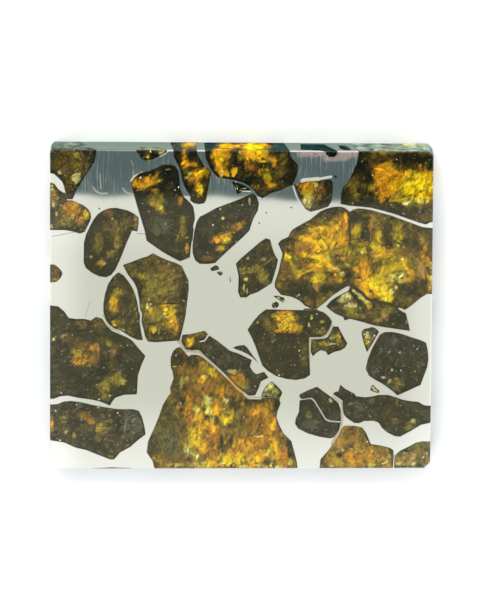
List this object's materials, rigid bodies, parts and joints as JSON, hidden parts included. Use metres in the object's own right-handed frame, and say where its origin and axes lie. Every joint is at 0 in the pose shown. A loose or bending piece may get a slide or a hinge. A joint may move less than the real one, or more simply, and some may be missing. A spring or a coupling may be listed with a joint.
{
  "type": "pallasite meteorite slice",
  "caption": "Flat polished slice of a pallasite: a bright nickel-iron net holding clear amber, green and dark olivine crystals, lying on its back.",
  "frame": {"origin": "centre of the back face, which the slice rests on", "axes": "+Z out of the polished front face, +X to the right along the long side of that face, +Y to its top edge as the picture shows it"},
  "size_m": [0.05, 0.0426, 0.0065],
  "materials": {
    "nickel_iron": "polished nickel-iron, slightly warm grey, with fine polishing scratches",
    "olivine_dark": "polished clear olivine that reads near black where it is deep, with a glassy shine",
    "olivine_green": "polished clear yellow-green olivine with cracks and a glassy shine",
    "olivine_amber": "polished clear amber to yellow olivine with cracks and a glassy shine",
    "olivine_orange": "polished clear orange olivine, stained by rust along its cracks",
    "olivine_brown": "polished clear brown olivine with cracks and a glassy shine"
  },
  "bodies": {
    "root": {"nickel_iron": "nickel_iron", "olivine_corner_top_left": "olivine_dark", "olivine_left_upper": "olivine_green", "olivine_oval_upper_left": "olivine_brown", "olivine_long_upper_left": "olivine_green", "olivine_bar_centre": "olivine_brown", "olivine_chip_top": "olivine_green", "olivine_narrow_top": "olivine_orange", "olivine_wide_top": "olivine_orange", "olivine_sliver_top": "olivine_dark", "olivine_small_top_right": "olivine_brown", "olivine_corner_top_right": "olivine_amber", "olivine_large_right": "olivine_amber", "olivine_tongue_right": "olivine_green", "olivine_shield_centre": "olivine_amber", "olivine_hook_centre": "olivine_dark", "olivine_wedge_right": "olivine_dark", "olivine_octagon_right": "olivine_dark", "olivine_long_lower_right": "olivine_brown", "olivine_splinter_right": "olivine_dark", "olivine_pair_upper": "olivine_dark", "olivine_pair_lower": "olivine_dark", "olivine_rust_bottom": "olivine_orange", "olivine_corner_bottom_right": "olivine_green", "olivine_rhomb_centre": "olivine_green", "olivine_bead_1": "olivine_dark", "olivine_bead_2": "olivine_dark", "olivine_bead_3": "olivine_dark", "olivine_bead_4": "olivine_dark", "olivine_left_edge": "olivine_brown", "olivine_oval_left": "olivine_green", "olivine_large_left_centre": "olivine_green", "olivine_bridge_centre": "olivine_amber", "olivine_diagonal_centre": "olivine_brown", "olivine_large_bottom": "olivine_amber", "olivine_triangle_lower": "olivine_green", "olivine_sliver_centre": "olivine_dark", "olivine_large_left": "olivine_green", "olivine_bottom_left": "olivine_dark", "olivine_top_side_wide": "olivine_dark", "olivine_top_side_narrow": "olivine_dark", "olivine_back_1": "olivine_green", "olivine_back_2": "olivine_amber", "olivine_back_3": "olivine_brown", "olivine_back_4": "olivine_dark", "olivine_back_5": "olivine_green", "olivine_back_6": "olivine_brown", "olivine_back_7": "olivine_dark", "olivine_back_8": "olivine_green", "olivine_back_9": "olivine_amber"}
  },
  "joints": []
}
